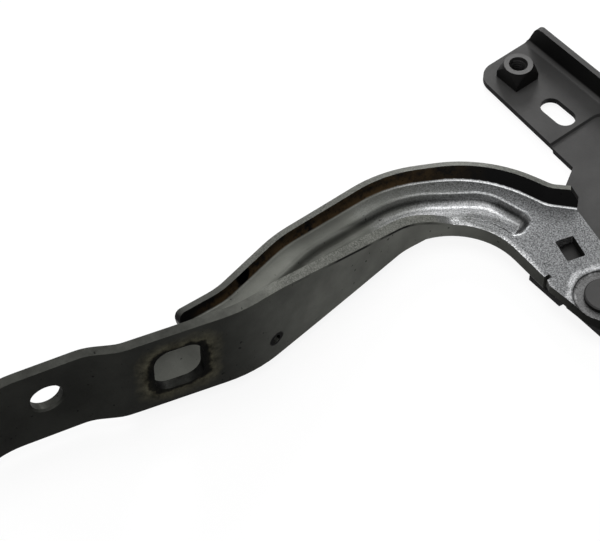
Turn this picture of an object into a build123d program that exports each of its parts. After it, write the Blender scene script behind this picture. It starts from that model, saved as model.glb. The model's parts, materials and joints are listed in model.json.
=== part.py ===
from build123d import *
import os
from math import acos, atan, atan2, cos, degrees, radians, sin, tan

# Driving dimensions, in mm. Z runs along the pivot and X along the row of body slots.
# The origin is midway between the two slots, on the underside of the mounting pads.

# Sheet of the two stampings
arm_sheet = 3.0
bracket_sheet = 2.0
press_lean = 22.0           # lean of every pressed step, in degrees from vertical

# Body bracket: mounting pads and slots
slot_spacing = 60.0
slot_length = 13.0
slot_width = 7.0
pad_left = 28.65            # from a slot's centre to the bracket's left end
pad_far = 12.0              # from the slot row to the start of the flange's bend
pad_near = 8.7              # from the slot row to the bracket's near left corner
pad_corner_r = 6.5

# Body bracket: panel sunk between the pads
panel_depth = 1.0
panel_margin = 3.0          # from a slot's end to the panel
panel_far = 11.0            # from the slot row to the panel's far edge
panel_near = 11.0           # from the slot row to the near edge of the right-hand pad
panel_corner_r = 4.0

# Body bracket: stiffening flange
flange_height = 8.0         # above the pads
flange_lean = 5.0           # degrees outwards
flange_bend_r = 1.5         # inside the bend
flange_ramp = 2.8           # over which its left end rises
flange_ramp_r = 2.0
flange_crest_r = 3.5

# Body bracket: neck and seat of the pivot
pivot_x = 34.95
pivot_y = -43.3
pivot_rim_r = 7.8           # outline of the bracket round the pivot
waist_x = 45.8              # from the pivot to the corner beside the left pad
waist_y = 31.6
neck_x = 23.0               # from the pivot to the near left corner
waist_r = 10.0
neck_r = 6.0
seat_rise = 2.4             # above the panel
seat_r = 12.5
seat_lobe_x = 11.5          # from the pivot to the second centre of the seat
seat_lobe_y = 10.4

# Weld nut
nut_side = 9.3
nut_height = 6.0
nut_land_r = 4.6            # round land at the top, inside the turned-down corners
nut_land_slope = 28.0       # of the corners, in degrees from vertical
nut_bore_r = 2.5
nut_chamfer = 0.5
nut_spacing = 19.1          # from the left slot's centre
nut_y = 0.3
nut_hole_r = 3.3            # hole in the bracket under the nut

# Pivot rivet and bush
shank_r = 4.0
head_r = 6.15
head_height = 1.4
head_chamfer = 0.4
tail_r = 5.8
tail_height = 2.0
tail_round = 0.8
bush_wall = 1.0
bush_flange_r = 8.2
bush_flange = 0.5
fit_clearance = 0.05        # radial, at the shank and in the arm's eye
face_clearance = 0.1        # along the pivot, at each rubbing face

# Hood arm: the angle it is modelled at and the depth of its pressed forms
arm_angle = 73.7            # from the slot row to the strap
eye_depth = 1.0
groove_depth = 3.2

# Hood arm: outer face of the near wall, from the strap's end to the wall's other end.
# All places on the arm are measured from the pivot, x along the strap.
strap_end = (-187.0, 15.5)
strap_bend = (-176.0, 19.4)
joggle_start = (-151.0, 20.3)
joggle_end = (-142.0, 17.7)
neck_bend = (-102.4, 17.7)
crown = (-22.3, 52.0)
wall_end = (-12.9, 11.6)
strap_bend_r = 30.0
joggle_r = 16.0
neck_bend_r = 45.0
crown_r = 22.5
wall_bend_r = 2.5           # outside the bend where the wall's top is level with the web
wall_edge_r = 1.5           # outside its lower edge

# Hood arm: strap and the fall of its top edge to the web
strap_width = 30.8
strap_fall = -96.0          # where the top edge starts to fall
strap_fall_knee = -62.0
strap_knee_height = 12.0    # height of the edge above the web at the knee
strap_fall_end = -29.0
strap_fall_r = 25.0
strap_end_r = 8.0

# Hood arm: start of the far flange's bend, from its left end to its right end
far_left = (-117.0, 37.4)
far_rise = (-101.7, 40.8)
far_shoulder = (-78.7, 52.7)
far_crown = (-41.0, 62.3)
far_turn = (-12.3, 54.8)
far_waist = (-0.4, 37.0)
far_right = (7.4, 32.0)
far_radii = (30.0, 40.0, 38.0, 38.0, 12.0)
far_lean = 25.0             # degrees outwards
far_bend_r = 0.8            # inside the bend
far_left_height = 3.0       # along the flange's face, at its left end
far_crown_height = 3.6
far_crown_place = 0.55      # as a share of the flange's length
far_right_height = 5.4
far_left_corner_r = 2.4
far_right_cut = 2.6         # off the top of its right end
far_right_drop = 3.4

# Hood arm: foot of the web behind the strap
foot_corner = (-131.0, 35.5)
foot_end = -138.0
foot_corner_r = 8.0

# Hood arm: groove, a closed line from the web's foot along its far edge and back by the wall
groove_left = (-150.0, 34.0)
groove_rise = (-97.0, 36.6)
groove_shoulder = (-72.0, 49.6)
groove_crown = (-38.5, 57.4)
groove_turn = (-14.6, 48.2)
groove_tip = (-6.4, 34.5)
groove_end = (-13.6, 30.0)
groove_near_turn = (-17.8, 37.6)
groove_near_crown = (-29.5, 47.5)
groove_near_neck = (-102.4, 18.8)
groove_near_left = (-150.0, 18.8)
groove_radii = (4.0, 25.0, 40.0, 30.0, 14.0, 3.0, 3.0, 18.0, 18.0, 45.0, 4.0)
groove_edge_r = 2.2         # of its upper and lower edges, on both skins

# Hood arm: eye and shoulder
eye_r = 9.3                 # outline of the web round the pivot
eye_press_r = 9.5
eye_edge_r = 0.7
shoulder = (-13.2, 9.4)     # beside the end of the near wall
relief_width = 1.3
relief_depth = 3.6

# Hood arm: holes
web_hole = (-1.3, 19.5)
web_hole_width = 6.0
web_hole_length = 8.2
web_hole_corner_r = 0.6
hood_hole_x = -163.1
hood_hole_height = 18.2     # above the strap's lower edge
hood_hole_r = 4.8
hood_hole_chamfer = 0.6
window_x = -125.2
window_height = 15.5        # above the strap's lower edge
window_width = 14.8
window_length = 16.8
window_corner_r = 5.0
gauge_hole_x = -94.4
gauge_hole_height = 8.5     # above the strap's lower edge
gauge_hole_r = 1.3

# Heights worked out from the above
pad_top = bracket_sheet
panel_top = pad_top - panel_depth
seat_top = panel_top + seat_rise
seat_underside = seat_top - bracket_sheet
bush_r = shank_r + fit_clearance + bush_wall
eye_underside = seat_top + bush_flange + face_clearance
head_underside = eye_underside + arm_sheet + face_clearance
web_top = eye_underside + arm_sheet + eye_depth
wall_height = arm_sheet + groove_depth
wall_bottom = -wall_height                  # from the web's top, as is all that follows
strap_top = wall_bottom + strap_width

# The arm's own frame has its origin on the pivot at the web's top, its x along the strap.
arm_x = Vector(1, 0, 0).rotate(Axis.Z, arm_angle)
arm_frame = Plane(origin=(pivot_x, pivot_y, web_top), x_dir=arm_x, z_dir=(0, 0, 1))
along_arm = Axis(arm_frame.origin, arm_x)
side_frame = Plane(origin=(pivot_x, pivot_y, web_top), x_dir=arm_x, z_dir=arm_x.rotate(Axis.Z, -90))

# How far a pressed step's lower skin stands outside its upper skin, for an even sheet
skin_ratio = (1 - sin(radians(press_lean))) / cos(radians(press_lean))
arm_gap = skin_ratio * arm_sheet
bracket_gap = skin_ratio * bracket_sheet
beyond = 3 * slot_spacing   # past every outline, for shapes that are trimmed

os.makedirs("parts", exist_ok=True)


def folded_strip(points, radius, sheet, side):
    """A strip of sheet, seen on edge, that follows filleted points on one of its faces."""
    with BuildLine() as strip:
        FilletPolyline(*points, radius=radius)
        offset(amount=sheet, side=side)
    make_face(strip.edges())


def middle_of(start, end):
    """Midway between two points of the arm's plan."""
    return ((start[0] + end[0]) / 2, (start[1] + end[1]) / 2)


def touch_point(point, radius, turn):
    """Where a line from the point touches the circle round the pivot."""
    distance = Vector(*point).length
    angle = atan2(point[1], point[0]) + turn * acos(radius / distance)
    return (radius * cos(angle), radius * sin(angle))


# Body bracket
left_slot = -slot_spacing / 2
bracket_left = left_slot - pad_left
bracket_right = pivot_x + pivot_rim_r
bracket_near = pivot_y - pivot_rim_r
nut_x = left_slot - nut_spacing
nut_seat = Plane(origin=(nut_x, nut_y, pad_top))
pivot_frame = Plane(origin=(pivot_x, pivot_y, 0))
panel_half = slot_spacing / 2 - slot_length / 2 - panel_margin
flange_top = pad_top + flange_height
flange_face = pad_far + flange_bend_r
flange_section = (
    (pad_far - bracket_sheet, pad_top),
    (flange_face, pad_top),
    (flange_face + flange_height * tan(radians(flange_lean)), flange_top),
)


def panel_outline(grow):
    """The sunk panel, which runs off the bracket at its near and right-hand sides."""
    with BuildLine() as panel:
        FilletPolyline(
            (-panel_half - grow, -beyond),
            (-panel_half - grow, panel_far + grow),
            (panel_half + grow, panel_far + grow),
            (panel_half + grow, -panel_near + grow),
            (beyond, -panel_near + grow),
            radius=(panel_corner_r + grow, panel_corner_r + grow, panel_corner_r - grow),
        )
        Polyline((beyond, -panel_near + grow), (beyond, -beyond), (-panel_half - grow, -beyond))
    make_face(panel.edges())


def seat_outline(grow):
    """The raised seat of the pivot: two round lands drawn into one."""
    with Locations((pivot_x, pivot_y), (pivot_x - seat_lobe_x, pivot_y + seat_lobe_y)):
        Circle(seat_r + grow)
    make_hull()


with BuildPart() as body_bracket:
    # Sheet at the height of the pads, much larger than the bracket
    with BuildSketch(Plane.XY):
        Rectangle(2 * beyond, 2 * beyond)
    extrude(amount=bracket_sheet)

    # Panel pressed down
    with BuildSketch(Plane.XY):
        panel_outline(0)
    extrude(amount=-panel_depth, taper=press_lean)
    with BuildSketch(Plane.XY.offset(pad_top)):
        panel_outline(bracket_gap)
    extrude(amount=-panel_depth, taper=press_lean, mode=Mode.SUBTRACT)

    # Seat pressed up out of the panel
    with BuildSketch(Plane.XY.offset(panel_top)):
        seat_outline(bracket_gap)
    extrude(amount=seat_rise, taper=press_lean)
    with BuildSketch(Plane.XY.offset(-panel_depth)):
        seat_outline(0)
    extrude(amount=seat_rise, taper=press_lean, mode=Mode.SUBTRACT)

    # Trimmed to the outline
    with BuildSketch(Plane.XY.offset(-panel_depth)) as bracket_blank:
        Polygon(
            (bracket_left, pad_far),
            (bracket_left, -pad_near),
            (pivot_x - waist_x, pivot_y + waist_y),
            (pivot_x - neck_x, bracket_near),
            (bracket_right, bracket_near),
            (bracket_right, pad_far),
            align=None,
        )
        corners = bracket_blank.vertices()
        fillet(corners.sort_by_distance((bracket_left, -pad_near))[0], radius=pad_corner_r)
        fillet(corners.sort_by_distance((pivot_x - waist_x, pivot_y + waist_y))[0], radius=waist_r)
        fillet(corners.sort_by_distance((pivot_x - neck_x, bracket_near))[0], radius=neck_r)
        fillet(corners.sort_by_distance((bracket_right, bracket_near))[0], radius=pivot_rim_r)
    extrude(amount=seat_top + panel_depth, mode=Mode.INTERSECT)

    # Stiffening flange along the far edge
    with BuildSketch(Plane.YZ.offset(bracket_left)):
        folded_strip(flange_section, flange_bend_r, bracket_sheet, Side.RIGHT)
    extrude(amount=bracket_right - bracket_left)
    with BuildSketch(Plane.XZ.offset(-pad_far)):
        with BuildLine() as flange_end:
            FilletPolyline(
                (bracket_left - pad_corner_r, pad_top),
                (bracket_left, pad_top),
                (bracket_left + flange_ramp, flange_top),
                (bracket_right, flange_top),
                radius=(flange_ramp_r, flange_crest_r),
            )
            Polyline(
                (bracket_right, flange_top),
                (bracket_right, 2 * flange_top),
                (bracket_left - pad_corner_r, 2 * flange_top),
                (bracket_left - pad_corner_r, pad_top),
            )
        make_face()
    extrude(amount=-beyond, mode=Mode.SUBTRACT)

    # Slots, and the holes under the nut and for the rivet
    with BuildSketch(Plane.XY):
        with GridLocations(slot_spacing, 0, 2, 1):
            SlotOverall(slot_length, slot_width)
        with Locations((nut_x, nut_y)):
            Circle(nut_hole_r)
        with Locations((pivot_x, pivot_y)):
            Circle(shank_r + fit_clearance)
    extrude(amount=beyond, both=True, mode=Mode.SUBTRACT)

body_bracket.part.label = "body_bracket"
export_step(body_bracket.part, "parts/body_bracket.step")


# Weld nut: square, with its top corners turned down to a round land
with BuildPart() as weld_nut:
    with BuildSketch(nut_seat):
        Rectangle(nut_side, nut_side)
    extrude(amount=nut_height)
    with BuildSketch(nut_seat.offset(nut_height)):
        Circle(nut_land_r)
    extrude(amount=-nut_height, taper=-nut_land_slope, mode=Mode.INTERSECT)
    with Locations(nut_seat.offset(nut_height)):
        CounterSinkHole(nut_bore_r, nut_bore_r + nut_chamfer, counter_sink_angle=90)

weld_nut.part.label = "weld_nut"
export_step(weld_nut.part, "parts/weld_nut.step")


# Pivot rivet: flat head, shank and formed tail
with BuildPart() as pivot_rivet:
    with BuildSketch(pivot_frame.offset(head_underside)):
        Circle(head_r)
    extrude(amount=head_height)
    chamfer(pivot_rivet.edges().group_by(Axis.Z)[-1], length=head_chamfer)
    with BuildSketch(pivot_frame.offset(head_underside)):
        Circle(shank_r)
    extrude(amount=seat_underside - head_underside)
    with BuildSketch(pivot_frame.offset(seat_underside)):
        Circle(tail_r)
    extrude(amount=-tail_height)
    fillet(pivot_rivet.edges().group_by(Axis.Z)[0], radius=tail_round)

pivot_rivet.part.label = "pivot_rivet"
export_step(pivot_rivet.part, "parts/pivot_rivet.step")


# Pivot bush: a sleeve round the shank with a thin flange under the arm
with BuildPart() as pivot_bush:
    with BuildSketch(pivot_frame.offset(seat_top)):
        Circle(bush_flange_r)
    extrude(amount=bush_flange)
    with BuildSketch(pivot_frame.offset(seat_top)):
        Circle(bush_r)
    extrude(amount=head_underside - seat_top)
    with BuildSketch(pivot_frame.offset(seat_top)):
        Circle(shank_r + fit_clearance)
    extrude(amount=head_underside - seat_top, mode=Mode.SUBTRACT)

pivot_bush.part.label = "pivot_bush"
export_step(pivot_bush.part, "parts/pivot_bush.step")


# Hood arm
wall_heading = degrees(atan2(wall_end[1] - crown[1], wall_end[0] - crown[0]))
far_line = (far_left, far_rise, far_shoulder, far_crown, far_turn, far_waist, far_right)
groove_line = (
    groove_left,
    groove_rise,
    groove_shoulder,
    groove_crown,
    groove_turn,
    groove_tip,
    groove_end,
    groove_near_turn,
    groove_near_crown,
    groove_near_neck,
    groove_near_left,
)
far_heights = ((0, far_left_height), (far_crown_place, far_crown_height), (1, far_right_height))


def web_outline():
    """Plan of the web: near wall, eye and far flange's bend, closed by the foot behind the strap."""
    with BuildLine() as web:
        FilletPolyline(
            (foot_end, joggle_end[1]),
            neck_bend,
            crown,
            wall_end,
            radius=(neck_bend_r, crown_r),
        )
        Polyline(wall_end, shoulder, touch_point(shoulder, eye_r, 1))
        Polyline(touch_point(shoulder, eye_r, 1), (0, 0), touch_point(far_right, eye_r, -1), far_right)
        FilletPolyline(*far_line, radius=far_radii)
        FilletPolyline(far_left, foot_corner, (foot_end, joggle_end[1]), radius=foot_corner_r)
    make_face(web.edges())
    Circle(eye_r)


def far_section(height):
    """The far flange and its bend, seen along the flange from its left end."""
    bend = tan(radians(90 - far_lean) / 2)
    corner = far_bend_r * bend
    lean = (sin(radians(far_lean)), cos(radians(far_lean)))
    top = (corner + (corner + height) * lean[0], (corner + height) * lean[1])
    with BuildLine() as section:
        FilletPolyline(
            (-arm_sheet / 2, 0),
            (corner, 0),
            top,
            (top[0] + arm_sheet * lean[1], top[1] - arm_sheet * lean[0]),
            (corner + arm_sheet * bend, -arm_sheet),
            (-arm_sheet / 2, -arm_sheet),
            radius=(far_bend_r, 0, 0, far_bend_r + arm_sheet),
        )
        Line((-arm_sheet / 2, -arm_sheet), (-arm_sheet / 2, 0))
    make_face(section.edges())


def groove_outline():
    """The groove, which runs under the near wall along the strap."""
    with BuildLine() as groove:
        FilletPolyline(*groove_line, radius=groove_radii, close=True)
    make_face(groove.edges())


def wall_plane(start, end, along, height):
    """On the near wall's outer face between two of its points, facing out, with y upwards."""
    slope = (end[1] - start[1]) / (end[0] - start[0])
    heading = arm_x.rotate(Axis.Z, degrees(atan(slope)))
    across = start[1] + slope * (along - start[0])
    point = arm_frame.from_local_coords((along, across, wall_bottom + height))
    return Plane(origin=point, x_dir=heading, z_dir=heading.rotate(Axis.Z, -90))


# Near wall and strap: one band, with its top edge falling to the web
with BuildPart() as near_wall:
    with BuildSketch(arm_frame.offset(wall_bottom)):
        folded_strip(
            (strap_end, strap_bend, joggle_start, joggle_end, neck_bend, crown, wall_end),
            (strap_bend_r, joggle_r, joggle_r, neck_bend_r, crown_r),
            arm_sheet,
            Side.LEFT,
        )
    extrude(amount=strap_width)
    strap_tip = near_wall.faces().sort_by(along_arm)[0]
    fillet(strap_tip.edges().group_by(Axis.Z)[0], radius=strap_end_r)
    with BuildSketch(side_frame):
        with BuildLine() as above_strap:
            FilletPolyline(
                (strap_end[0] - strap_end_r, strap_top),
                (strap_fall, strap_top),
                (strap_fall_knee, strap_knee_height),
                (strap_fall_end, 0),
                (0, 0),
                radius=(strap_fall_r, strap_fall_r, 0),
            )
            Polyline(
                (0, 0),
                (0, 2 * strap_top),
                (strap_end[0] - strap_end_r, 2 * strap_top),
                (strap_end[0] - strap_end_r, strap_top),
            )
        make_face()
    extrude(amount=beyond, both=True, mode=Mode.SUBTRACT)

    # Outer bends: at the top where the wall is level with the web, and all along the lower edge
    top_bend = arm_frame.from_local_coords((*middle_of(crown, wall_end), 0))
    fillet(near_wall.edges().sort_by_distance(top_bend)[0], radius=wall_bend_r)
    lower_bend = arm_frame.from_local_coords((*middle_of(neck_bend, crown), wall_bottom))
    fillet(near_wall.edges().sort_by_distance(lower_bend)[0], radius=wall_edge_r)

    # Hole for the hood's bolt, window and gauge hole
    with Locations(wall_plane(strap_bend, joggle_start, hood_hole_x, hood_hole_height)):
        CounterSinkHole(hood_hole_r, hood_hole_r + hood_hole_chamfer, 2 * arm_sheet, counter_sink_angle=90)
    with BuildSketch(wall_plane(joggle_end, neck_bend, window_x, window_height)):
        RectangleRounded(window_width, window_length, window_corner_r)
    extrude(amount=-2 * arm_sheet, mode=Mode.SUBTRACT)
    with Locations(wall_plane(neck_bend, crown, gauge_hole_x, gauge_hole_height)):
        Hole(gauge_hole_r, 2 * arm_sheet)

# Far flange: three sections of growing height, drawn along the start of the bend
with BuildPart() as far_flange:
    with BuildLine(arm_frame) as far_bend:
        FilletPolyline(*far_line, radius=far_radii)
    for share, height in far_heights:
        heading = far_bend.line % share
        with BuildSketch(Plane(far_bend.line @ share, x_dir=heading.rotate(Axis.Z, 90), z_dir=heading)):
            far_section(height)
    sweep(path=far_bend.line, multisection=True)

    # Left end rounded at its top, right end cut off aslant
    left_end = far_flange.faces().sort_by(along_arm)[0]
    fillet(left_end.edges().sort_by(Axis.Z)[-1], radius=far_left_corner_r)
    right_end = far_flange.faces().sort_by(along_arm)[-1]
    right_top = right_end.edges().sort_by(Axis.Z)[-1]
    chamfer(right_top, length=far_right_drop, length2=far_right_cut, reference=right_end)

with BuildPart() as hood_arm:
    # Sheet with the groove and the eye pressed down
    with BuildSketch(arm_frame.offset(-arm_sheet)):
        Rectangle(2 * beyond, 2 * beyond)
    extrude(amount=arm_sheet)
    with BuildSketch(arm_frame.offset(-arm_sheet)) as groove_skin:
        groove_outline()
        offset(amount=arm_gap)
    extrude(amount=-groove_depth, taper=press_lean)
    skin_edges = hood_arm.edges(Select.LAST).group_by(Axis.Z)
    fillet(skin_edges[0] + skin_edges[-1], radius=groove_edge_r)
    with BuildSketch(arm_frame.offset(-arm_sheet)):
        Circle(eye_press_r + arm_gap)
    extrude(amount=-eye_depth, taper=press_lean)
    with BuildSketch(arm_frame):
        groove_outline()
    extrude(amount=-groove_depth, taper=press_lean, mode=Mode.SUBTRACT)
    groove_edges = hood_arm.edges(Select.LAST).group_by(Axis.Z)
    fillet(groove_edges[0] + groove_edges[-1], radius=groove_edge_r)
    with BuildSketch(arm_frame):
        Circle(eye_press_r)
    extrude(amount=-eye_depth, taper=press_lean, mode=Mode.SUBTRACT)
    eye_edges = hood_arm.edges(Select.LAST).group_by(Axis.Z)
    fillet(eye_edges[0] + eye_edges[-1], radius=eye_edge_r)

    # Trimmed to the web's outline
    with BuildSketch(arm_frame.offset(-wall_height)):
        web_outline()
    extrude(amount=wall_height, mode=Mode.INTERSECT)

    # Near wall and far flange
    add(near_wall.part)
    add(far_flange.part)

    # Relief beside the wall's end, rectangular hole and the bush's hole
    with BuildSketch(arm_frame) as arm_holes:
        with Locations(wall_end):
            relief_align = (Align.CENTER, Align.MIN)
            Rectangle(relief_depth, relief_width, rotation=wall_heading + 90, align=relief_align)
        with Locations(web_hole):
            RectangleRounded(web_hole_width, web_hole_length, web_hole_corner_r)
        Circle(bush_r + fit_clearance)
    extrude(amount=beyond, both=True, mode=Mode.SUBTRACT)

hood_arm.part.label = "hood_arm"
export_step(hood_arm.part, "parts/hood_arm.step")
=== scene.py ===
import json
from math import cos, radians, sin, tau

import bpy
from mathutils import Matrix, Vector


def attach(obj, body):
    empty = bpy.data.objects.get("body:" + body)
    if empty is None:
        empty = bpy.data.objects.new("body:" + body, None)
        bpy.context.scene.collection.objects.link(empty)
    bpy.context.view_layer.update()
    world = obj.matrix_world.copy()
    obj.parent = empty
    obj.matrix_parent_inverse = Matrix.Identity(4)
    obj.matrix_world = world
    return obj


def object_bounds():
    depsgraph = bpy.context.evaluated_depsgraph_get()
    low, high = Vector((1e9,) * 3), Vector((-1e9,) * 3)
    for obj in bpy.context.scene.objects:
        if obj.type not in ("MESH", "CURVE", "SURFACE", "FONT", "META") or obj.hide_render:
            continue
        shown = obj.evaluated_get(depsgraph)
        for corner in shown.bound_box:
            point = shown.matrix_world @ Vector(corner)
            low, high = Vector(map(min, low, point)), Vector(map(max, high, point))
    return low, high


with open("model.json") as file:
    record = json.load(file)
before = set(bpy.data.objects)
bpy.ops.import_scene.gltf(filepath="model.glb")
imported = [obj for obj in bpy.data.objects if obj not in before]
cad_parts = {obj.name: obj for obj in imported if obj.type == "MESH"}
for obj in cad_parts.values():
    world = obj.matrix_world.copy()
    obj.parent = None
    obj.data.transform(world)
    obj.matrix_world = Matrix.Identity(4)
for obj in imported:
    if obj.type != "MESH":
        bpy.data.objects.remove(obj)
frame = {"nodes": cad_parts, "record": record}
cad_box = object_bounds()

# Everything is in metres, in the frame's own axes.
nodes = frame["nodes"]
mounts = {mount["name"]: mount for mount in frame["record"]["mounts"]}
pivot = Vector(frame["record"]["behaviour"]["joints"][0]["pos_m"])
up = Vector((0, 0, 1))

# Camera: 51 degrees above the horizon, on the right-hand near side
camera_azimuth = 50.5
camera_elevation = 51.0
camera_distance = 0.7011
camera_aim = pivot + Vector((-0.06296, -0.06278, 0.0005))
camera_lens = 144.0         # focal length and sensor width, in mm
camera_sensor = 36.0
camera_near = 0.01

# Floor, below the lowest point of the hinge
floor_gap = 0.0002
floor_size = 6.0
floor_grey = 0.82
floor_glow = 0.8            # share of plain white in what the eye sees of it
floor_white = 1.1           # strength of that white

# Lamps: azimuth and elevation of where each stands, its distance, diameter and power
lamps = {
    "overhead": (230.0, 80.0, 1.1, 0.7, 4.5),
    "back_strip": (226.0, 27.0, 1.2, 0.42, 6.0),
    "front_panel": (20.0, 45.0, 1.4, 0.9, 3.0),
}
sky_strength = 0.3

# Places on the arm are measured from the pivot: along the strap, away from it to the far flange, and up.
strap_heading = 73.7
strap_along = Vector((cos(radians(strap_heading)), sin(radians(strap_heading)), 0))
strap_away = Vector((-strap_along.y, strap_along.x, 0))
web_hole_along = -0.0013
web_hole_away = 0.0195
eye_step_r = 0.0102
gauge_along = -0.0944
gauge_height = 0.0023
gauge_ring_r = 0.0021
window_ring_r = 0.0086

# Lines over the arm: each place along the strap, and how far away the line lies there
groove_line = (
    (-0.097, 0.0366),
    (-0.072, 0.0496),
    (-0.039, 0.0574),
    (-0.015, 0.0482),
    (-0.006, 0.0345),
)
flange_line = (
    (-0.117, 0.033),
    (-0.102, 0.036),
    (-0.079, 0.047),
    (-0.041, 0.056),
    (-0.012, 0.049),
    (-0.002, 0.028),
    (0.008, 0.018),
)
# Line of the painted highlight along the groove's floor
groove_highlight_line = (
    (-0.060, 0.0515),
    (-0.032, 0.0512),
    (-0.020, 0.0480),
    (-0.015, 0.0441),
    (-0.010, 0.0360),
)

# Bend from the web down into the near wall, by the crown, where a painted highlight lies: each distance
# away, and the place along
bend_line = (
    (0.010, -0.0144),
    (0.023, -0.0162),
    (0.031, -0.0189),
    (0.042, -0.0281),
)

# Upper edge of the near wall, where it falls to the web: each place along the strap, and its height
edge_line = (
    (-0.096, 0.0246),
    (-0.062, 0.0120),
    (-0.029, 0.0),
)

# Stretches along the strap: where a mark starts and is full, and for some, is last full and ends
bare_stretch = (-0.056, -0.015)
shaded_end_stretch = (-0.108, -0.116)
dark_edge_stretch = (-0.125, -0.095)
worn_edge_stretch = (-0.100, -0.090)
eye_stretch = (-0.0125, -0.0105)
groove_highlight_stretch = (-0.052, -0.030, -0.015, -0.0085)
lip_stretch = (-0.045, -0.034, -0.014, -0.010)
seam_stretch = (-0.045, -0.020)
crease_stretch = (-0.094, -0.084, -0.036, -0.031)
rust_stretch = (-0.112, -0.100, -0.030, -0.012)
foot_stretch = (-0.114, -0.104, -0.040, -0.028)

# The same, measured away from the strap
bend_stretch = (0.004, 0.014, 0.040, 0.046)
arc_stretch = (-0.003, 0.004)

# Heights above the web: where a mark starts and is full, and for some, is last full and ends
groove_heights = (0.0002, -0.0002)
hole_heights = (0.0, -0.0003)
shaded_end_heights = (0.0005, 0.0)
eye_heights = (-0.0002, -0.0006)
groove_highlight_heights = (-0.0008, -0.0020)
bend_heights = (-0.0030, -0.0015)
near_lip_heights = (-0.0014, -0.0008, -0.0002, 0.0)
far_lip_heights = (-0.0024, -0.0014, -0.0003, 0.0)
seam_heights = (-0.0002, 0.0001, 0.0006, 0.0014)
foot_heights = (0.0001, 0.0004, 0.0010, 0.0022)
flange_heights = (0.0, 0.0004)
edge_heights = (0.0012, 0.0020)

# Half widths to which a mark beside a line is full, and at which it ends
groove_reach = (0.0035, 0.0050)
hole_reach_along = (0.0038, 0.0046)
hole_reach_away = (0.0046, 0.0054)
groove_highlight_reach = (0.0010, 0.0036)
bend_reach = (0.0012, 0.0026)
crease_reach = (0.0003, 0.0007)
crease_drop = 0.0006        # of the crease below the edge line

# Distances past a line: where a mark starts and is full
past_groove_highlight = (0.001, 0.002)
past_flange = (0.0, 0.001)
before_flange_seam = (-0.006, -0.004)
before_flange_foot = (-0.004, -0.001)

# How squarely a face looks up, where a mark starts and is full
level_look = (0.25, 0.7)
upright_look = (0.85, 0.6)
steep_look = (0.97, 0.85)
curved_look = (0.995, 0.96)

# How squarely a face looks away from the strap, where a mark starts and is full
near_look = (-0.5, -0.8)
near_lip_look = (0.05, 0.15)
far_lip_look = (-0.04, -0.2)

# Rings round a centre, in radii: where a mark starts, is full, is last full and ends
# Painted highlight arc round the eye
arc_ring = (0.05, 0.14)     # half widths of the bright arc round the eye
stain_ring = (0.9, 1.0, 1.12, 1.6)
rim_ring = (0.6, 0.8, 1.04, 1.14)
gauge_ring = (1.25, 1.0)

# Depths into the strap from its outer face
stain_depths = (0.0008, 0.0003)
rim_depths = (0.0034, 0.0031)

# Tones of some places, as shares of the tone round them; among them painted light and shade
shaded_end_tone = 0.5
dark_edge_tone = 0.5
groove_wall_light = 1.6
far_lip_tone = 0.45
arc_share = 0.6

# Tone of the arm's upright faces along the strap: black coat, made darker than the faces that look up as
# painted shade, lighter under the crown as painted light, and dark again by the eye
wall_coat_and_shade_tones = (
    (-0.165, 0.022),
    (-0.112, 0.027),
    (-0.092, 0.076),
    (-0.080, 0.116),
    (-0.070, 0.122),
    (-0.030, 0.172),
    (-0.013, 0.040),
    (-0.009, 0.011),
)

# Grain and blotches of the steel: how many of them there are to a metre
cloud_scale = 55
blotch_scale = 240
ragged_scale = 330
pit_scale = 620
grain_scale = 2100
coat_cloud_scale = 60
coat_grain_scale = 1600

# Other coats: lit tone from above and painted shade tone on upright faces, roughness, share of metal,
# and how squarely a face looks up where the lit tone from above begins and where it is full
coats = {
    "bracket_steel": (0.056, 0.007, 0.5, 0.4, 0.1, 0.5),
    "rivet_steel": (0.049, 0.010, 0.4, 0.5, 0.3, 0.8),
    "bush_bronze": (0.13, 0.05, 0.5, 0.4, 0.3, 0.8),
    "nut_steel": (0.068, 0.008, 0.4, 0.6, 0.90, 0.99),
    "thread_steel": (0.04, 0.01, 0.4, 0.4, 0.3, 0.8),
}
# Heading of the bracket's upright faces that alone get painted shade
flange_shade_heading = Vector((0, -1, 0))     # of the inner face of the bracket's flange

# Relief of the grain, and gloss of the coats, well below that of plain paint
arm_relief = 0.00005
arm_relief_share = 0.6
arm_gloss = 0.008
coat_relief = 0.00004
coat_relief_share = 0.4
coat_gloss = 0.04

# Thread of the weld nut: an M6 coil that stands a little proud of the bore
thread_pitch = 0.001
thread_depth = 0.0003
thread_root = 0.00002       # how far its foot sinks into the bore
thread_half = 0.4           # half the width of its foot, as a share of the pitch
thread_steps = 48           # in one turn


def direction(azimuth, elevation):
    """From the object towards a place seen at an azimuth and elevation, both in degrees."""
    a = radians(azimuth)
    e = radians(elevation)
    return Vector((sin(a) * cos(e), -cos(a) * cos(e), sin(e)))


def aimed(thing, place, target):
    """Puts a camera or lamp into the scene at a place, turned to a target."""
    thing.location = place
    thing.rotation_mode = "QUATERNION"
    thing.rotation_quaternion = (target - place).to_track_quat("-Z", "Y")
    bpy.context.scene.collection.objects.link(thing)


def make_camera():
    """A long lens that looks along the photograph's line of sight."""
    data = bpy.data.cameras.new("camera")
    data.lens = camera_lens
    data.sensor_width = camera_sensor
    data.clip_start = camera_near
    camera = bpy.data.objects.new("camera", data)
    place = camera_aim + camera_distance * direction(camera_azimuth, camera_elevation)
    aimed(camera, place, camera_aim)
    bpy.context.scene.camera = camera


def make_lamps():
    """Large soft panels round the hinge."""
    for name, (azimuth, elevation, distance, size, power) in lamps.items():
        data = bpy.data.lights.new(name, "AREA")
        data.shape = "DISK"
        data.size = size
        data.energy = power
        lamp = bpy.data.objects.new(name, data)
        aimed(lamp, camera_aim + distance * direction(azimuth, elevation), camera_aim)


# Colours


def grey(value, warm=0.0):
    """A nearly neutral colour, a little warmer or cooler."""
    return (value * (1 + warm), value, value * (1 - warm), 1.0)


def olive(value):
    """A grey with a faint green cast."""
    return (value * 0.98, value, value * 0.90, 1.0)


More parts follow.
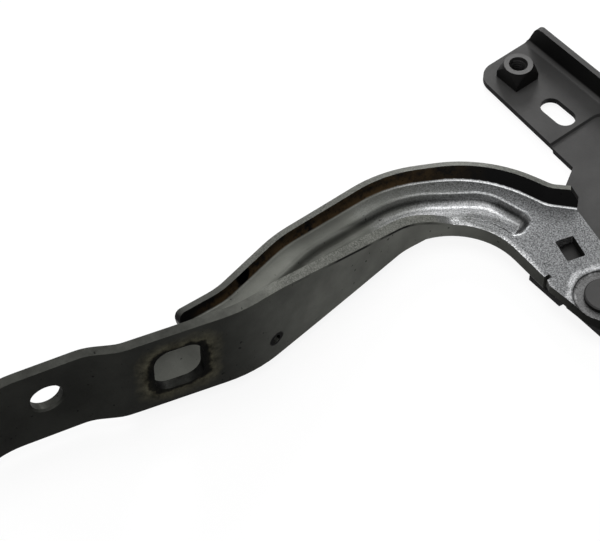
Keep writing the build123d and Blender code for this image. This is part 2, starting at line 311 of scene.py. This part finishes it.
# Darker and lighter tone of each mottled surface of the arm
smooth_steel = (olive(0.085), olive(0.128))
speckled_steel = (grey(0.05, -0.02), grey(0.2, -0.02))
edge_coat = (olive(0.064), olive(0.100))
eye_steel = (grey(0.06), grey(0.12))
# Bright metal of the painted highlights
highlight_steel = (grey(0.20, -0.02), grey(0.52, -0.01))
residue = ((0.013, 0.012, 0.008, 1), (0.092, 0.086, 0.060, 1))

# Plain tones of the arm, among them painted shade of the far flange, the crease and the window's edge
worn_speckle = olive(0.170)
flange_shade_black = grey(0.008)
flange_rust = (0.035, 0.024, 0.013, 1)
foot_rust = (0.062, 0.040, 0.020, 1)
# Painted shade of the crease
crease_shade_black = grey(0.002)
# Black of the gauge ring, and painted shade on the window's edge
mark_and_shade_black = grey(0.001)


# What the finishes are built from


class Shader:
    """One material, with short calls for the masks and blends that the finishes share."""

    def __init__(self, name):
        self.material = bpy.data.materials.new(name)
        self.material.use_nodes = True
        self.tree = self.material.node_tree
        self.surface = self.tree.nodes["Principled BSDF"]
        place = self.tree.nodes.new("ShaderNodeTexCoord")
        self.place = place.outputs["Object"]
        self.facing = place.outputs["Normal"]

    def link(self, source, target):
        """Joins an output to an input, or sets a plain value on it."""
        if isinstance(source, bpy.types.NodeSocket):
            self.tree.links.new(source, target)
        else:
            target.default_value = source

    def noise(self, scale, detail, roughness=0.55):
        """Soft noise in the object's own coordinates, from 0 to 1."""
        texture = self.tree.nodes.new("ShaderNodeTexNoise")
        texture.inputs["Scale"].default_value = scale
        texture.inputs["Detail"].default_value = detail
        texture.inputs["Roughness"].default_value = roughness
        self.tree.links.new(self.place, texture.inputs["Vector"])
        return texture.outputs[0]

    def remap(self, value, low, high, to_low=0.0, to_high=1.0):
        """Maps a value from one range to another, clamped."""
        node = self.tree.nodes.new("ShaderNodeMapRange")
        self.link(value, node.inputs["Value"])
        node.inputs["From Min"].default_value = low
        node.inputs["From Max"].default_value = high
        node.inputs["To Min"].default_value = to_low
        node.inputs["To Max"].default_value = to_high
        return node.outputs["Result"]

    def maths(self, operation, a, b=0.0):
        """One sum on two values."""
        node = self.tree.nodes.new("ShaderNodeMath")
        node.operation = operation
        self.link(a, node.inputs[0])
        self.link(b, node.inputs[1])
        return node.outputs[0]

    def apart(self, a, b):
        """Distance between two values."""
        return self.maths("ABSOLUTE", self.maths("SUBTRACT", a, b))

    def mix(self, amount, a, b):
        """Blends two colours."""
        node = self.tree.nodes.new("ShaderNodeMix")
        node.data_type = "RGBA"
        self.link(amount, node.inputs[0])
        self.link(a, node.inputs[6])
        self.link(b, node.inputs[7])
        return node.outputs[2]

    def mottled(self, texture, low, high, tones):
        """Blends a darker and a lighter tone by a texture."""
        dark, light = tones
        return self.mix(self.remap(texture, low, high), dark, light)

    def scaled(self, colour, amount):
        """A colour made darker or lighter by an amount."""
        node = self.tree.nodes.new("ShaderNodeVectorMath")
        node.operation = "SCALE"
        self.tree.links.new(colour, node.inputs[0])
        self.link(amount, node.inputs["Scale"])
        return node.outputs["Vector"]

    def toned(self, colour, mask, amount):
        """A colour made darker or lighter by an amount where a mask is full."""
        return self.scaled(colour, self.remap(mask, 0, 1, 1.0, amount))

    def dot(self, source, heading):
        """How far a vector reaches along a heading."""
        node = self.tree.nodes.new("ShaderNodeVectorMath")
        node.operation = "DOT_PRODUCT"
        self.tree.links.new(source, node.inputs[0])
        node.inputs[1].default_value = heading
        return node.outputs["Value"]

    def depth_to(self, point, normal):
        """Signed distance of the surface from a plane, in metres."""
        return self.maths("SUBTRACT", self.dot(self.place, normal), point.dot(normal))

    def faces(self, heading):
        """How far the surface faces a heading, from -1 to 1."""
        return self.dot(self.facing, heading)

    def product(self, *masks):
        """Mask that is full only where all the masks are."""
        total = masks[0]
        for mask in masks[1:]:
            total = self.maths("MULTIPLY", total, mask)
        return total

    def largest(self, *masks):
        """Mask that is full wherever one of the masks is."""
        total = masks[0]
        for mask in masks[1:]:
            total = self.maths("MAXIMUM", total, mask)
        return total

    def band(self, value, start, full, still_full, end):
        """Mask that rises from start to full and falls again to end."""
        rise = self.remap(value, start, full)
        fall = self.remap(value, still_full, end, 1.0, 0.0)
        return self.product(rise, fall)

    def near(self, value, line, full, end):
        """Mask that falls away on both sides of a line."""
        return self.remap(self.apart(value, line), full, end, 1.0, 0.0)

    def ramp(self, value, stops):
        """Blends a row of colours, each at its own value."""
        low = stops[0][0]
        high = stops[-1][0]
        node = self.tree.nodes.new("ShaderNodeValToRGB")
        self.tree.links.new(self.remap(value, low, high), node.inputs[0])
        elements = node.color_ramp.elements
        for _ in stops[2:]:
            elements.new(0.5)
        for element, (place, colour) in zip(elements, stops):
            element.position = (place - low) / (high - low)
            element.color = colour
        return node.outputs["Color"]

    def line(self, value, stops):
        """A value that runs straight from stop to stop along another value."""
        low = min(level for _, level in stops)
        high = max(level for _, level in stops)
        shares = [(place, grey((level - low) / (high - low))) for place, level in stops]
        return self.remap(self.ramp(value, shares), 0.0, 1.0, low, high)

    def distance_round(self, u, v, centre_u, centre_v, radius, power=2.0):
        """Distance from a centre, in radii, with a ragged edge. A high power squares the rings off."""
        side_u = self.maths("POWER", self.apart(u, centre_u), power)
        side_v = self.maths("POWER", self.apart(v, centre_v), power)
        root = self.maths("POWER", self.maths("ADD", side_u, side_v), 1 / power)
        ragged = self.remap(self.noise(ragged_scale, 4), 0.3, 0.7, -0.08, 0.08)
        return self.maths("ADD", self.maths("DIVIDE", root, radius), ragged)

    def bump(self, height, distance, strength):
        """Raises the surface by a height texture."""
        node = self.tree.nodes.new("ShaderNodeBump")
        node.inputs["Strength"].default_value = strength
        node.inputs["Distance"].default_value = distance
        self.link(height, node.inputs["Height"])
        return node.outputs["Normal"]

    def finish(self, colour, roughness, metallic=0.0, normal=None, gloss=0.5):
        """Sets the surface's main inputs."""
        self.surface.inputs["Specular IOR Level"].default_value = gloss
        self.link(colour, self.surface.inputs["Base Color"])
        self.link(roughness, self.surface.inputs["Roughness"])
        self.link(metallic, self.surface.inputs["Metallic"])
        if normal:
            self.tree.links.new(normal, self.surface.inputs["Normal"])
        return self.material


# Finish of the hood arm


class ArmShader(Shader):
    """Black coat on the strap that thins to bare, speckled steel towards the pivot, with painted light,
    shade and highlights.
    """

    def __init__(self):
        """Places, headings and textures that the masks share."""
        super().__init__("arm_steel")
        self.along = self.depth_to(pivot, strap_along)
        self.away = self.depth_to(pivot, strap_away)
        self.height = self.depth_to(pivot, up)
        self.upward = self.maths("ABSOLUTE", self.faces(up))
        self.outward = self.faces(strap_away)
        self.upright = self.remap(self.upward, *upright_look)
        self.groove_highlight_away = self.line(self.along, groove_highlight_line)
        self.beyond_flange = self.maths("SUBTRACT", self.away, self.line(self.along, flange_line))

        self.cloud = self.noise(cloud_scale, 6)
        self.blotch = self.noise(blotch_scale, 6, 0.7)
        self.grain = self.noise(grain_scale, 2, 0.6)
        drift = self.remap(self.cloud, 0.3, 0.7, -0.012, 0.012)
        self.bare = self.remap(self.maths("ADD", self.along, drift), *bare_stretch)

    def groove_wall(self):
        """The groove's far wall, which is given the lit tone of the faces that look up, as painted light.
        """
        beside = self.near(self.away, self.line(self.along, groove_line), *groove_reach)
        return self.product(beside, self.remap(self.height, *groove_heights))

    def hole_wall(self):
        """The far wall of the rectangular hole, which is given the lit tone and a painted highlight."""
        beside_along = self.near(self.along, web_hole_along, *hole_reach_along)
        beside_away = self.near(self.away, web_hole_away, *hole_reach_away)
        far_side = self.remap(self.outward, *near_look)
        return self.product(beside_along, beside_away, far_side, self.remap(self.height, *hole_heights))

    def upper_faces(self, groove):
        """Smooth grey on the left, with painted shade at its low left end, and silver grain by the pivot,
        with coated edges, the groove's steep wall lighter as painted light, and a darker eye.
        """
        smooth = self.mottled(self.cloud, 0.35, 0.65, smooth_steel)
        # Painted shade on the low left end of the web.
        shaded_end = self.product(
            self.remap(self.along, *shaded_end_stretch),
            self.remap(self.height, *shaded_end_heights),
        )
        smooth = self.toned(smooth, shaded_end, shaded_end_tone)
        top = self.mix(self.bare, smooth, self.mottled(self.grain, 0.35, 0.7, speckled_steel))

        edge = self.mottled(self.blotch, 0.35, 0.65, edge_coat)
        edge = self.scaled(edge, self.remap(self.along, *dark_edge_stretch, dark_edge_tone, 1.0))
        raised = self.remap(self.height, *edge_heights)
        top = self.mix(raised, top, edge)
        worn = self.remap(self.along, *worn_edge_stretch)
        speckle = self.product(raised, worn, self.remap(self.grain, 0.40, 0.68))
        top = self.mix(speckle, top, worn_speckle)

        # Painted light: where coated, the groove's steep far wall is made lighter.
        coated = self.remap(self.bare, 0, 1, 1.0, 0.0)
        steep = self.remap(self.upward, *steep_look)
        top = self.toned(top, self.product(groove, coated, steep), groove_wall_light)

        eye = self.product(self.remap(self.along, *eye_stretch), self.remap(self.height, *eye_heights))
        return self.mix(eye, top, self.mottled(self.grain, 0.3, 0.7, eye_steel))

    def groove_highlight(self):
        """Painted highlight along the groove's floor."""
        beside = self.near(self.away, self.groove_highlight_away, *groove_highlight_reach)
        sunk = self.remap(self.height, *groove_highlight_heights)
        return self.product(beside, sunk, self.band(self.along, *groove_highlight_stretch))

    def bend_highlight(self):
        """Painted highlight on the bend from the web down into the near wall, by the crown, speckled by
        the grain.
        """
        beside = self.near(self.along, self.line(self.away, bend_line), *bend_reach)
        length = self.band(self.away, *bend_stretch)
        above = self.remap(self.height, *bend_heights)
        return self.product(beside, length, above, self.remap(self.grain, 0.3, 0.6, 0.35, 1.0))

    def near_lip_highlight(self):
        """Painted highlight on the upper rim of the groove's near wall."""
        rim = self.band(self.height, *near_lip_heights)
        length = self.band(self.along, *lip_stretch)
        return self.product(rim, self.remap(self.outward, *near_lip_look), length)

    def far_lip(self):
        """Upper rim of the groove's far wall, which lies in shade."""
        rim = self.band(self.height, *far_lip_heights)
        past = self.remap(self.maths("SUBTRACT", self.away, self.groove_highlight_away), *past_groove_highlight)
        return self.product(rim, self.remap(self.outward, *far_lip_look), past)

    def flange_foot_highlight(self):
        """Painted highlight on the bend at the foot of the far flange."""
        foot = self.band(self.height, *seam_heights)
        beside = self.remap(self.beyond_flange, *before_flange_seam)
        curved = self.remap(self.upward, *curved_look)
        return self.product(foot, beside, curved, self.remap(self.along, *seam_stretch))

    def eye_arc_highlight(self):
        """Painted highlight on the step round the dished eye, brighter on its far side."""
        step = self.distance_round(self.along, self.away, 0.0, 0.0, eye_step_r)
        far_side = self.remap(self.away, *arc_stretch, 0.0, arc_share)
        return self.product(self.near(step, 1.0, *arc_ring), far_side)

    def add_highlights(self, top, hole):
        """Adds painted highlights of bright metal to the upper faces, patchy by the blotches, and painted
        shade on the groove's far lip.
        """
        top = self.toned(top, self.far_lip(), far_lip_tone)
        highlights = (self.groove_highlight(), self.bend_highlight(), self.near_lip_highlight(), self.flange_foot_highlight(), self.eye_arc_highlight())
        patchy = self.remap(self.blotch, 0.2, 0.5, 0.6, 1.0)
        bright = self.mottled(self.grain, 0.35, 0.65, highlight_steel)
        return self.mix(self.product(self.largest(hole, *highlights), patchy), top, bright)

    def upright_coat_and_shade(self):
        """Cloudy black coat with painted shade on the upright faces, lighter under the crown as painted
        light.
        """
        side = self.ramp(self.along, [(place, olive(tone)) for place, tone in wall_coat_and_shade_tones])
        return self.scaled(side, self.remap(self.cloud, 0.3, 0.7, 0.7, 1.3))

    def add_crease_shade(self, colour):
        """Painted shade, nearly black, in the crease along the upper edge of the near wall, where it
        falls to the web.
        """
        below = self.maths("SUBTRACT", self.line(self.along, edge_line), self.height)
        crease = self.product(
            self.near(below, crease_drop, *crease_reach),
            self.band(self.along, *crease_stretch),
            self.upright,
            self.remap(self.outward, *near_look),
            self.remap(self.cloud, 0.38, 0.52),
        )
        return self.mix(crease, colour, crease_shade_black)

    def add_flange(self, colour):
        """Inner face of the far flange, nearly black as painted shade, with brown rust on its left part
        and at its foot.
        """
        beyond = self.remap(self.beyond_flange, *past_flange)
        above = self.remap(self.height, *flange_heights)
        rusty = self.product(self.band(self.along, *rust_stretch), self.remap(self.blotch, 0.40, 0.58))
        tone = self.mix(rusty, flange_shade_black, flange_rust)
        colour = self.mix(self.product(beyond, above, self.upright), colour, tone)
        foot = self.product(
            self.remap(self.beyond_flange, *before_flange_foot),
            self.band(self.height, *foot_heights),
            self.band(self.along, *foot_stretch),
            self.remap(self.blotch, 0.36, 0.52),
        )
        return self.mix(foot, colour, foot_rust)

    def add_window(self, colour):
        """Olive residue round the window, with painted shade, nearly black, on the window's own edge."""
        window = mounts["strap_window"]
        middle = Vector(window["pos_m"])
        centre = middle - pivot
        centre_along = centre.dot(strap_along)
        ring = self.distance_round(self.along, self.height, centre_along, centre.z, window_ring_r, 4.0)
        depth = self.depth_to(middle, -Vector(window["axis"]))
        skin = self.remap(depth, *stain_depths)
        stain = self.product(self.band(ring, *stain_ring), skin, self.upright)
        colour = self.mix(stain, colour, self.mottled(self.blotch, 0.35, 0.65, residue))
        # Painted shade on the window's own edge, inside the strap
        rim = self.product(self.band(ring, *rim_ring), self.remap(depth, *rim_depths))
        patchy = self.remap(self.blotch, 0.3, 0.6, 1.0, 0.88)
        return self.mix(self.product(rim, patchy), colour, mark_and_shade_black)

    def add_gauge_ring(self, colour):
        """Black ring round the gauge hole."""
        ring = self.distance_round(self.along, self.height, gauge_along, gauge_height, gauge_ring_r)
        inside = self.remap(ring, *gauge_ring)
        return self.mix(self.product(inside, self.upright), colour, mark_and_shade_black)

    def make(self):
        """The whole finish: steel on faces that look up, dark coated walls that are partly painted shade,
        painted highlights, rust and marks, and dark pits over all.
        """
        groove = self.groove_wall()
        hole = self.hole_wall()
        # Painted light and shade: faces that look up, and the far walls of the groove and the hole, take
        # the lit steel; upright faces take the dark coat.
        level = self.largest(self.remap(self.upward, *level_look), groove, hole)
        top = self.add_highlights(self.upper_faces(groove), hole)
        colour = self.mix(level, self.upright_coat_and_shade(), top)
        for add in (self.add_crease_shade, self.add_flange, self.add_window, self.add_gauge_ring):
            colour = add(colour)
        pits = self.remap(self.noise(pit_scale, 2, 0.5), 0.70, 0.75, 1.0, 0.3)
        colour = self.scaled(colour, pits)
        metallic = self.product(level, self.remap(self.bare, 0, 1, 0.5, 0.95))
        roughness = self.remap(self.grain, 0.3, 0.7, 0.30, 0.42)
        relief = self.bump(self.grain, arm_relief, arm_relief_share)
        return self.finish(colour, roughness, metallic, relief, arm_gloss)


# Finish of the other pieces


def coated_steel(name, shaded_heading=None):
    """Satin grained coat, lit from above and with painted shade on upright faces, or on those alone that
    face a given heading.
    """
    top, side, rough, metal, level_from, level_to = coats[name]
    shader = Shader(name)
    upward = shader.maths("ABSOLUTE", shader.faces(up))
    level = shader.remap(upward, level_from, level_to)
    cloud = shader.noise(coat_cloud_scale, 5)
    grain = shader.noise(coat_grain_scale, 3)
    shaded_colour = grey(side, 0.02)
    if shaded_heading:
        turned = shader.remap(shader.faces(shaded_heading), 0.0, 0.5)
        shaded_colour = shader.mix(turned, grey(top), shaded_colour)
    colour = shader.mix(level, shaded_colour, grey(top, 0.01))
    colour = shader.scaled(colour, shader.remap(cloud, 0.3, 0.7, 0.85, 1.15))
    roughness = shader.remap(grain, 0.3, 0.7, rough - 0.05, rough + 0.08)
    metallic = shader.maths("MULTIPLY", level, metal)
    relief = shader.bump(grain, coat_relief, coat_relief_share)
    return shader.finish(colour, roughness, metallic, relief, coat_gloss)


materials = {
    "hood_arm": ArmShader().make(),
    "body_bracket": coated_steel("bracket_steel", flange_shade_heading),
    "pivot_rivet": coated_steel("rivet_steel"),
    "pivot_bush": coated_steel("bush_bronze"),
    "weld_nut": coated_steel("nut_steel"),
}
for node, material in materials.items():
    nodes[node].data.materials.clear()
    nodes[node].data.materials.append(material)


# Thread of the weld nut


def make_nut_thread():
    """A triangular ridge that winds up the bore."""
    mount = mounts["nut_thread"]
    middle = Vector(mount["pos_m"])
    radius = mount["dims"]["r_mm"] / 1000
    length = mount["dims"]["length_mm"] / 1000
    bottom = middle.z - length / 2 + thread_pitch / 2
    steps = int((length - thread_pitch) / thread_pitch * thread_steps)
    profile = ((thread_root, -thread_half), (-thread_depth, 0.0), (thread_root, thread_half))
    corners = len(profile)
    points = []
    faces = []
    for step in range(steps + 1):
        angle = tau * step / thread_steps
        level = bottom + thread_pitch * step / thread_steps
        for out, share in profile:
            reach = radius + out
            x = middle.x + reach * cos(angle)
            y = middle.y + reach * sin(angle)
            points.append((x, y, level + share * thread_pitch))
    for step in range(steps):
        for side in range(corners):
            first = corners * step + side
            second = corners * step + (side + 1) % corners
            faces.append((first, second, second + corners, first + corners))
    # Both ends are closed.
    last = corners * steps
    faces.append((2, 1, 0))
    faces.append((last, last + 1, last + 2))
    mesh = bpy.data.meshes.new("nut_thread")
    mesh.from_pydata(points, [], faces)
    mesh.materials.append(coated_steel("thread_steel"))
    thread = bpy.data.objects.new("nut_thread", mesh)
    bpy.context.scene.collection.objects.link(thread)
    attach(thread, "bracket")


# Floor and surroundings


def is_seen(tree):
    """1 for rays of the camera, and for rays that reflect or pass through to it."""
    rays = tree.nodes.new("ShaderNodeLightPath")
    seen = rays.outputs["Is Camera Ray"]
    for name in ("Is Glossy Ray", "Is Transmission Ray"):
        either = tree.nodes.new("ShaderNodeMath")
        either.operation = "MAXIMUM"
        tree.links.new(seen, either.inputs[0])
        tree.links.new(rays.outputs[name], either.inputs[1])
        seen = either.outputs[0]
    return seen


def ranged(tree, value, low, high):
    """Maps 0 to 1 onto another range."""
    node = tree.nodes.new("ShaderNodeMapRange")
    tree.links.new(value, node.inputs["Value"])
    node.inputs["To Min"].default_value = low
    node.inputs["To Max"].default_value = high
    return node.outputs["Result"]


def make_floor():
    """A plain pale floor, white to the eye and in reflections, that keeps a faint shadow of the hinge."""
    mesh = bpy.data.meshes.new("floor")
    half = floor_size / 2
    level = cad_box[0].z - floor_gap
    corners = [(-half, -half, level), (half, -half, level), (half, half, level), (-half, half, level)]
    mesh.from_pydata(corners, [], [(0, 1, 2, 3)])
    floor = bpy.data.objects.new("floor", mesh)
    bpy.context.scene.collection.objects.link(floor)
    shader = Shader("floor_paper")
    shader.finish(grey(floor_grey), 1.0)
    tree = shader.tree
    glow = tree.nodes.new("ShaderNodeEmission")
    glow.inputs["Strength"].default_value = floor_white
    blend = tree.nodes.new("ShaderNodeMixShader")
    tree.links.new(ranged(tree, is_seen(tree), 0.0, floor_glow), blend.inputs[0])
    tree.links.new(shader.surface.outputs[0], blend.inputs[1])
    tree.links.new(glow.outputs[0], blend.inputs[2])
    tree.links.new(blend.outputs[0], tree.nodes["Material Output"].inputs["Surface"])
    mesh.materials.append(shader.material)


def make_world():
    """White to the camera and in reflections, and a soft sky as light."""
    world = bpy.data.worlds.new("world")
    world.use_nodes = True
    tree = world.node_tree
    background = tree.nodes["Background"]
    background.inputs["Color"].default_value = (1, 1, 1, 1)
    tree.links.new(ranged(tree, is_seen(tree), sky_strength, 1.0), background.inputs["Strength"])
    bpy.context.scene.world = world


make_nut_thread()
make_floor()
make_world()
make_lamps()
make_camera()
bpy.context.scene.view_settings.view_transform = "Standard"
